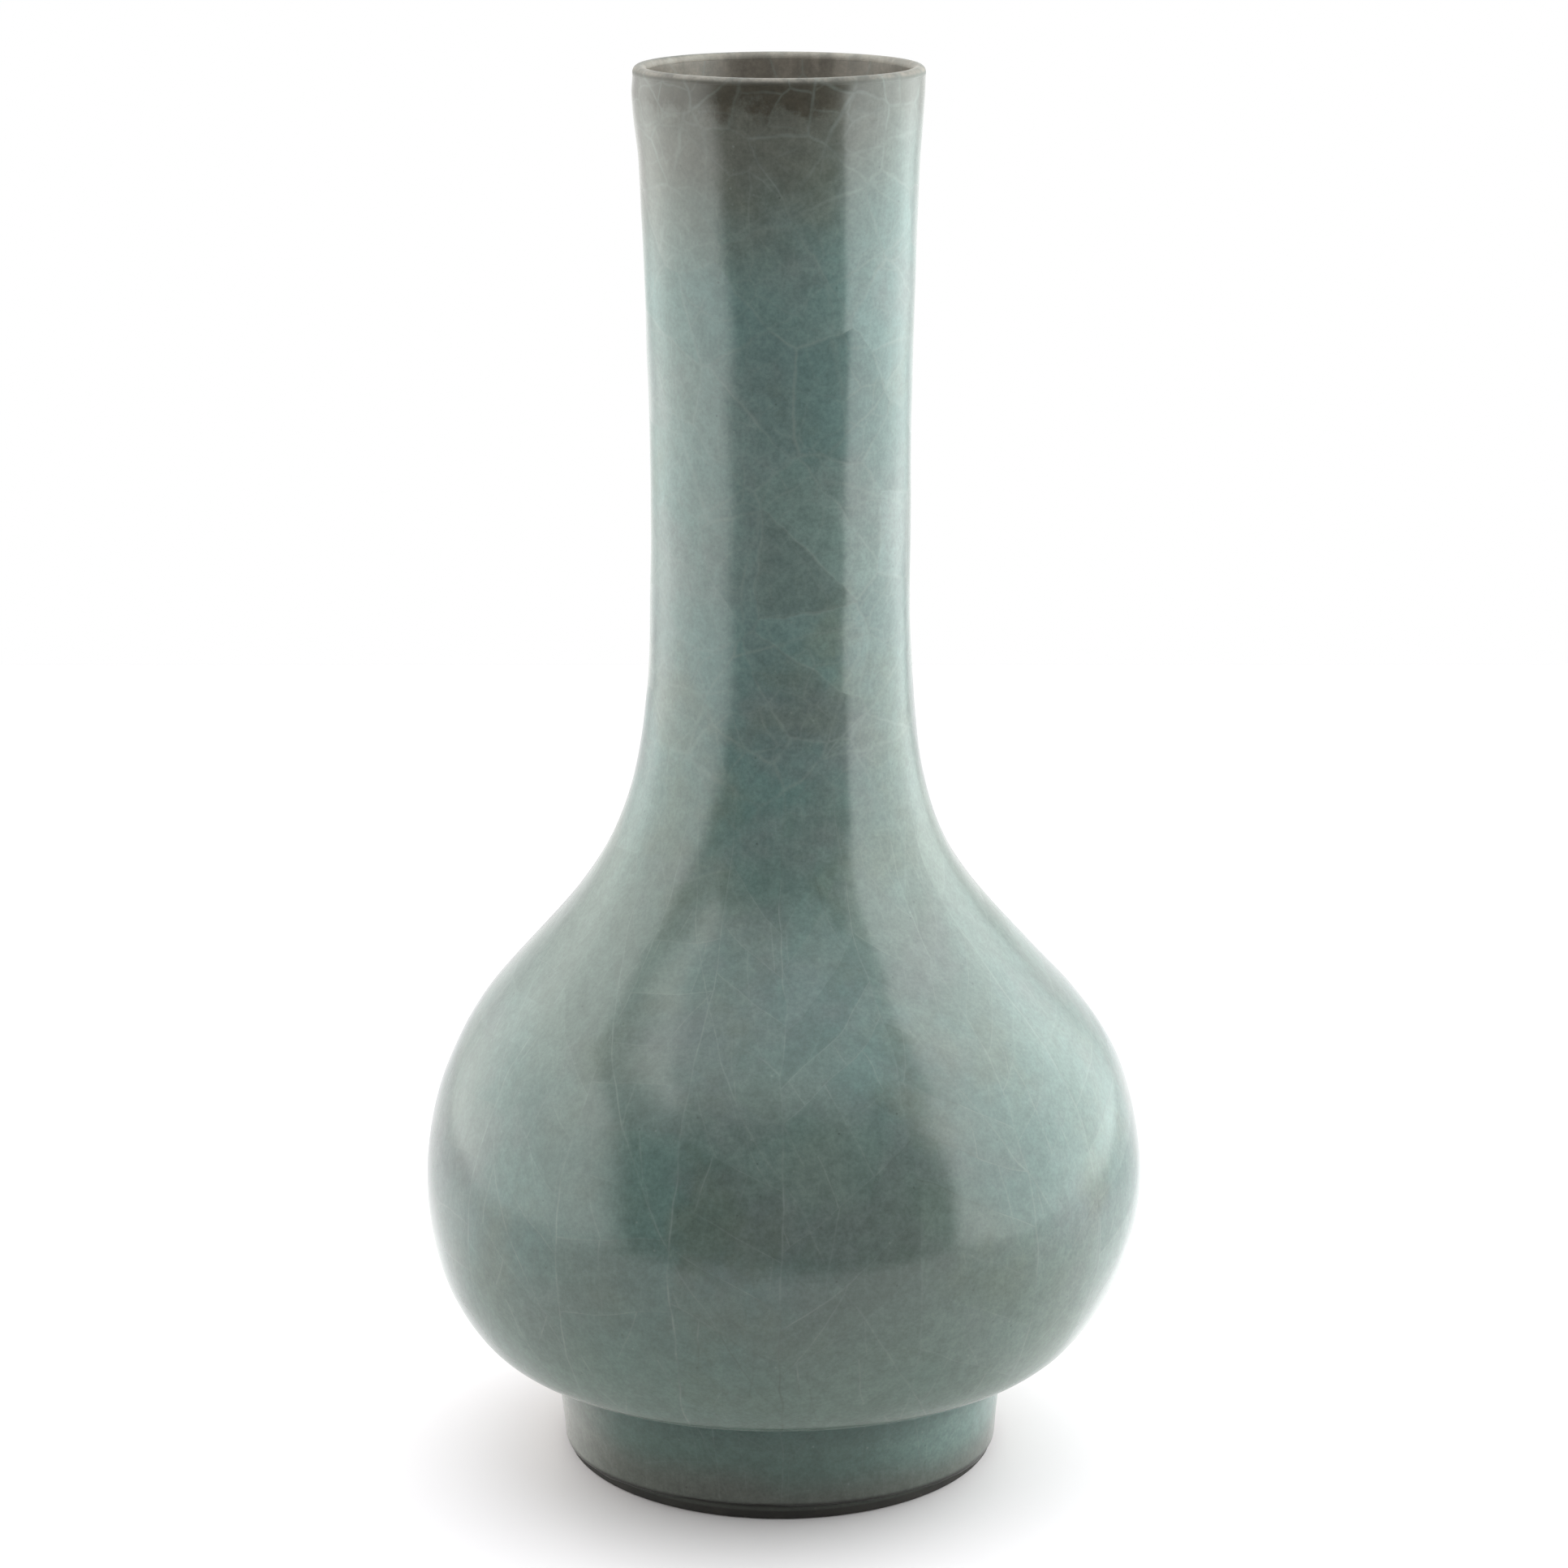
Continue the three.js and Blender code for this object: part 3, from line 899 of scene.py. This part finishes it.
def edged(graph, place, colour):
    """Darkens the coat's lower edge, which hangs lower at the sides."""
    across, away, height = graph.parts(place)
    across = graph.times(across, across)
    away = graph.times(away, away)
    sag = graph.times(graph.math("DIVIDE", across, graph.plus(across, away)), 2 * EDGE_SAG)
    return graph.blend(graph.ramp(graph.plus(height, sag), *EDGE_FALL), colour, EDGE_DARK)


def tilted(graph, tile, height):
    """Lets each tile of the crackle lean a little its own way, more on the neck than on the body."""
    share = graph.ramp(height, *NECK_START, BODY_TILT, NECK_TILT)
    centred = graph.vector("SUBTRACT", tile, (0.5, 0.5, 0.5))
    tilt = graph.node("VectorMath", {0: centred, "Scale": share}, operation="SCALE").outputs[0]
    leaned = graph.vector("ADD", graph.node("NewGeometry", {}).outputs["Normal"], tilt)
    return graph.node("VectorMath", {0: leaned}, operation="NORMALIZE").outputs[0]


def celadon():
    """Grey-green glaze: mottled, sandy, crackled, brown at the thin mouth and pooled at the foot, with
    painted light and shade on the body, the foot and the lip's crest.
    """
    material, graph = new_graph("celadon_glaze_crackled")
    place = graph.place()
    across, _, height = graph.parts(place)
    cracks, tile = crackled(graph, place, height)
    patches, lilac, colour = body_tones(graph, place, tile)
    colour = mouth_tones(graph, place, patches, colour)
    colour = foot_tones(graph, place, patches, colour)
    band, colour = lip_tones(graph, place, colour)
    # Painted shade and light: darker low on the belly, lighter up the neck
    colour = graph.tint(colour, graph.ramp(height, *HEIGHT_PAINTED_SHADE_AND_LIGHT))
    # Painted light: lighter towards the right side
    colour = graph.tint(colour, graph.ramp(across, *RIGHT_PAINTED_LIGHT))
    sand, colour = sandy(graph, place, colour)
    colour = edged(graph, place, lined(graph, place, height, cracks, colour))
    skin = graph.plus(sand, graph.times(cracks, CRACK_RELIEF))
    gloss = graph.plus(graph.ramp(lilac, *GLAZE_ROUGHNESS), graph.times(band, BAND_ROUGHNESS))
    graph.surface(
        Base_Color=colour,
        Roughness=graph.plus(gloss, graph.ramp(height, *CREST_ROUGHNESS)),
        IOR=GLAZE_IOR,
        Normal=graph.bump(skin, GLAZE_BUMP, GLAZE_RELIEF, Normal=tilted(graph, tile, height)),
        Sheen_Weight=GLAZE_HAZE,
        Sheen_Roughness=GLAZE_HAZE_SPREAD,
    )
    return material


def thin_glaze(name, light, dark, streak, laid_out):
    """The thinner coats inside and under the base: streaked, with a faint crackle."""
    material, graph = new_graph(name)
    place = graph.place()
    sand, colour = sandy(graph, place, streaked(graph, place, light, dark, streak))
    cracks = flat_lines(graph, laid_out(graph, place), *THIN_CRACKS)
    colour = graph.blend(graph.times(cracks, THIN_CRACK_SHARE), colour, PALE_CRACK)
    graph.surface(
        Base_Color=colour,
        Roughness=graph.ramp(sand, *THIN_ROUGHNESS),
        IOR=GLAZE_IOR,
        Normal=graph.bump(sand, THIN_BUMP, GLAZE_RELIEF),
    )
    return material


# Clay

STONEWARE_LIGHT = (0.026, 0.024, 0.020)
STONEWARE_DARK = (0.015, 0.014, 0.012)
STONEWARE_GRAIN = 0.6 * MM
SLIP_LIGHT = (0.075, 0.060, 0.050)
SLIP_DARK = (0.050, 0.040, 0.034)
SLIP_GRAIN = 0.3 * MM
# Painted light: a paler band round the bare foot, so that the clay above and below it reads as shade
FOOT_LIT_BAND = (0.042, 0.045, 0.038)
FOOT_LIT_BAND_RISE = (1.5 * MM, 1.9 * MM)
FOOT_LIT_BAND_FALL = (2.2 * MM, 2.6 * MM, 1.0, 0.0)
CLAY_LUMPS = (9 * MM, 4.0, 0.65)
CLAY_RANGE = (0.35, 0.65)
GRAIN_DETAIL = (3.0, 0.7)
GRAIN_TONE = (0.25, 0.75, 0.7, 1.3)
GRIT_SPACING = 2.4 * MM
GRIT_RANGE = (0.06, 0.12, 0.5, 0.0)
GRIT_PALE = 3
CLAY_IOR = 1.45
CLAY_ROUGHNESS = (0.3, 0.7, 0.62, 0.82)
CLAY_BUMP = 0.4
CLAY_RELIEF = 0.08 * MM


def bare_clay(name, light, dark, grain):
    """Unglazed fired clay: dry, with sandy grain, a few pale grits and a band of painted light round the
    bare foot.
    """
    material, graph = new_graph(name)
    place = graph.place()
    height = graph.parts(place)[2]
    lumps = graph.cloud(place, *CLAY_LUMPS).outputs[0]
    colour = graph.blend(graph.ramp(lumps, *CLAY_RANGE), light, dark)
    # Painted light on the middle of the bare band, leaving its top and bottom dark as shade
    line = graph.times(graph.ramp(height, *FOOT_LIT_BAND_RISE), graph.ramp(height, *FOOT_LIT_BAND_FALL))
    colour = graph.blend(line, colour, FOOT_LIT_BAND)
    fine = graph.cloud(place, grain, *GRAIN_DETAIL).outputs[0]
    colour = graph.tint(colour, graph.ramp(fine, *GRAIN_TONE))
    grit = graph.cells(place, GRIT_SPACING, "F1").outputs["Distance"]
    colour = graph.blend(graph.ramp(grit, *GRIT_RANGE), colour, tuple(GRIT_PALE * c for c in light))
    graph.surface(
        Base_Color=colour,
        Roughness=graph.ramp(fine, *CLAY_ROUGHNESS),
        IOR=CLAY_IOR,
        Normal=graph.bump(fine, CLAY_BUMP, CLAY_RELIEF),
    )
    return material


def dress_vase():
    """Finishes the clay sections and slip joints, and turns the coats and the foot over them."""
    stoneware = bare_clay("dark_stoneware", STONEWARE_LIGHT, STONEWARE_DARK, STONEWARE_GRAIN)
    slip = bare_clay("fired_slip", SLIP_LIGHT, SLIP_DARK, SLIP_GRAIN)
    for name in ("lower_body", "upper_body", "neck"):
        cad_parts[name].data.materials[0] = stoneware
    for name in ("foot_luting_slip", "belly_luting_slip", "neck_luting_slip"):
        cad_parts[name].data.materials[0] = slip
    outer_coat(celadon())
    lining(thin_glaze("lining_glaze_thin", LINING_LIGHT, LINING_DARK, LINING_STREAK, unrolled))
    recess_coat(thin_glaze("recess_glaze_thin", RECESS_LIGHT, RECESS_DARK, 1.0, from_below))
    foot(stoneware)


# Studio: a light tent that is open, and so dark, towards the camera. The camera sees plain white behind.

# Lengths of the studio are in metres. A ramp over the depth or the height is given as its two ends.
TENT_SIDE = 0.45
TENT_REAR = 0.60
TENT_FRONT = -0.38
TENT_HEIGHT = 0.80
FLOOR_WHITE = (0.920, 0.855, 0.875)
# Painted shade: the floor greyer to the rear
FLOOR_FALL = (0.04, 0.17)
FLOOR_REAR_SHADE = 0.70
# Painted shadow on the floor just in front of the vase
FLOOR_FRONT_FALL = (-0.01, -0.12)
FLOOR_FRONT_END = (-0.30, -0.18)
FLOOR_FRONT_SHADE = 0.85
FLOOR_CUT = 0.16
FLOOR_TONE = 0.985
FLOOR_TONE_SIZE = 0.2
FLOOR_ROUGHNESS = 0.9
FLOOR_GLOSS = 0.2
REAR_GLOW = (1.20, 1.20, 1.18)
REAR_LOW = 1.05
REAR_LOW_END = (0.08, 0.25)
CEILING_GLOW = (1.46, 1.61, 1.67)
CEILING_RISE = (-1.0, -0.2)
CEILING_LEFT = 1.5
CEILING_LEFT_RISE = (0.05, -0.40)
CEILING_LEFT_START = (-0.25, 0.05)
SIDE_FADE = (0.24, 0.60)
SIDE_REAR = 0.52
LOW_DIM = (0.08, 0.36)
HIGH_RISE = (0.50, 0.70)
SPILL = 0.35
SPILL_RISE = (0.30, 0.50)
LEFT_PANEL = {
    "glow": (3.00, 3.11, 3.00),
    "rise": (-0.52, -0.30),
    "lean": 0.4,
    "knee": 0.33,
    "cut": 1.3,
    "low": 0.89,
    "high": 3.0,
}
RIGHT_PANEL = {
    "glow": (4.10, 4.34, 4.25),
    "rise": (-0.375, -0.34),
    "lean": 0.1,
    "knee": 0.40,
    "cut": 0.45,
    "low": 0.80,
    "high": 1.0,
}
DIM_ROOM = 0.12
BACKDROP = (1.0, 1.0, 1.0)

CAMERA_PLACE = (0.5 * MM, -675.4 * MM, 297.1 * MM)
CAMERA_PITCH = math.radians(14.78)
CAMERA_LENS = 94.0
CAMERA_SENSOR = 36.0


def sheet(name, corners, material):
    """A flat sheet of the studio."""
    data = bpy.data.meshes.new(name)
    data.from_pydata(corners, [], [range(len(corners))])
    data.materials.append(material)
    piece = bpy.data.objects.new(name, data)
    bpy.context.scene.collection.objects.link(piece)
    return piece


def floor():
    """A plain pale floor with painted shade, greyer to the rear and just in front of the vase, with its
    front corners cut.
    """
    material, graph = new_graph("studio_floor_white")
    place = graph.place()
    depth = graph.parts(place)[1]
    tone = graph.cloud(place, FLOOR_TONE_SIZE).outputs[0]
    colour = graph.blend(tone, FLOOR_WHITE, tuple(FLOOR_TONE * c for c in FLOOR_WHITE))
    # Painted shade: greyer to the rear
    colour = graph.tint(colour, graph.ramp(depth, *FLOOR_FALL, 1.0, FLOOR_REAR_SHADE))
    # Painted shadow: the floor greyer just in front of the vase
    front_shade = graph.times(graph.ramp(depth, *FLOOR_FRONT_FALL), graph.ramp(depth, *FLOOR_FRONT_END))
    colour = graph.tint(colour, graph.ramp(front_shade, 0.0, 1.0, 1.0, FLOOR_FRONT_SHADE))
    graph.surface(Base_Color=colour, Roughness=FLOOR_ROUGHNESS, Specular_IOR_Level=FLOOR_GLOSS)
    right = (
        (TENT_SIDE - FLOOR_CUT, TENT_FRONT),
        (TENT_SIDE, TENT_FRONT + FLOOR_CUT),
        (TENT_SIDE, TENT_REAR),
    )
    left = [(-x, y) for x, y in reversed(right)]
    sheet("studio_floor", [(x, y, 0) for x, y in (*right, *left)], material)


def upright(start, end):
    """Corners of an upright sheet over a line on the floor."""
    return [(*start, 0), (*end, 0), (*end, TENT_HEIGHT), (*start, TENT_HEIGHT)]


def glowing(name, corners, glow, strength_at):
    """A glowing sheet of the tent. The camera looks through it."""
    material, graph = new_graph(name)
    strength = strength_at(graph, *graph.parts(graph.place()))
    shader = graph.node("Emission", {"Color": (*glow, 1), "Strength": strength})
    graph.node("OutputMaterial", {"Surface": shader.outputs[0]})
    sheet(name, corners, material).visible_camera = False


def side_panel(name, side, glow, rise, lean, knee, cut, low, high):
    """A bright side of the tent.

    Its light rises over a stretch of the depth, which leans back with the height and is cut back further
    above the knee. It fades to the rear. Low and high are its shares at the floor and at the top.
    """
    def strength_at(graph, _, depth, height):
        over_knee = graph.math("MAXIMUM", graph.math("SUBTRACT", height, knee), 0.0)
        leaned = graph.math("SUBTRACT", depth, graph.times(height, lean))
        leaned = graph.math("SUBTRACT", leaned, graph.times(over_knee, cut))
        spill = graph.ramp(height, *SPILL_RISE, 0.0, SPILL)
        strength = graph.math("MAXIMUM", graph.ramp(leaned, *rise), spill)
        strength = graph.times(strength, graph.ramp(depth, *SIDE_FADE, 1.0, SIDE_REAR))
        strength = graph.times(strength, graph.ramp(height, *HIGH_RISE, 1.0, high))
        return graph.times(strength, graph.ramp(height, *LOW_DIM, low, 1.0))

    glowing(name, upright((side, rise[0]), (side, TENT_REAR)), glow, strength_at)


def ceiling():
    """A soft ceiling that comes up to its light towards the rear and is brightest on the left."""
    def strength_at(graph, across, depth, _):
        start = graph.ramp(depth, *CEILING_LEFT_START)
        to_left = graph.times(graph.ramp(across, *CEILING_LEFT_RISE, 0.0, CEILING_LEFT - 1), start)
        return graph.times(graph.ramp(depth, *CEILING_RISE), graph.plus(to_left, 1.0))

    front = CEILING_RISE[0]
    corners = [(-TENT_SIDE, front), (TENT_SIDE, front), (TENT_SIDE, TENT_REAR), (-TENT_SIDE, TENT_REAR)]
    glowing("tent_ceiling", [(*corner, TENT_HEIGHT) for corner in corners], CEILING_GLOW, strength_at)


def rear():
    """A white rear, brighter near the floor."""
    def strength_at(graph, _across, _depth, height):
        return graph.ramp(height, *REAR_LOW_END, REAR_LOW, 1.0)

    corners = upright((-TENT_SIDE, TENT_REAR), (TENT_SIDE, TENT_REAR))
    glowing("tent_rear", corners, REAR_GLOW, strength_at)


def light_tent():
    """Two bright side panels, a white rear and a softer ceiling round the vase."""
    side_panel("tent_left", -TENT_SIDE, **LEFT_PANEL)
    side_panel("tent_right", TENT_SIDE, **RIGHT_PANEL)
    rear()
    ceiling()


def backdrop():
    """Plain white where the camera looks past the vase, and a dim room for everything else."""
    world = bpy.data.worlds.new("backdrop")
    bpy.context.scene.world = world
    graph = Graph(world)
    seen = graph.node("LightPath", {}).outputs["Is Camera Ray"]
    colour = graph.blend(seen, (DIM_ROOM,) * 3, BACKDROP)
    shader = graph.node("Background", {"Color": colour})
    graph.node("OutputWorld", {"Surface": shader.outputs[0]})


def camera():
    """A camera at the photograph's viewing angle."""
    data = bpy.data.cameras.new("camera")
    data.lens = CAMERA_LENS
    data.sensor_width = CAMERA_SENSOR
    piece = bpy.data.objects.new("camera", data)
    piece.location = CAMERA_PLACE
    piece.rotation_euler = (math.pi / 2 - CAMERA_PITCH, 0, 0)
    bpy.context.scene.collection.objects.link(piece)
    bpy.context.scene.camera = piece


camera()
floor()
light_tent()
backdrop()
dress_vase()
bpy.context.scene.view_settings.view_transform = "Standard"
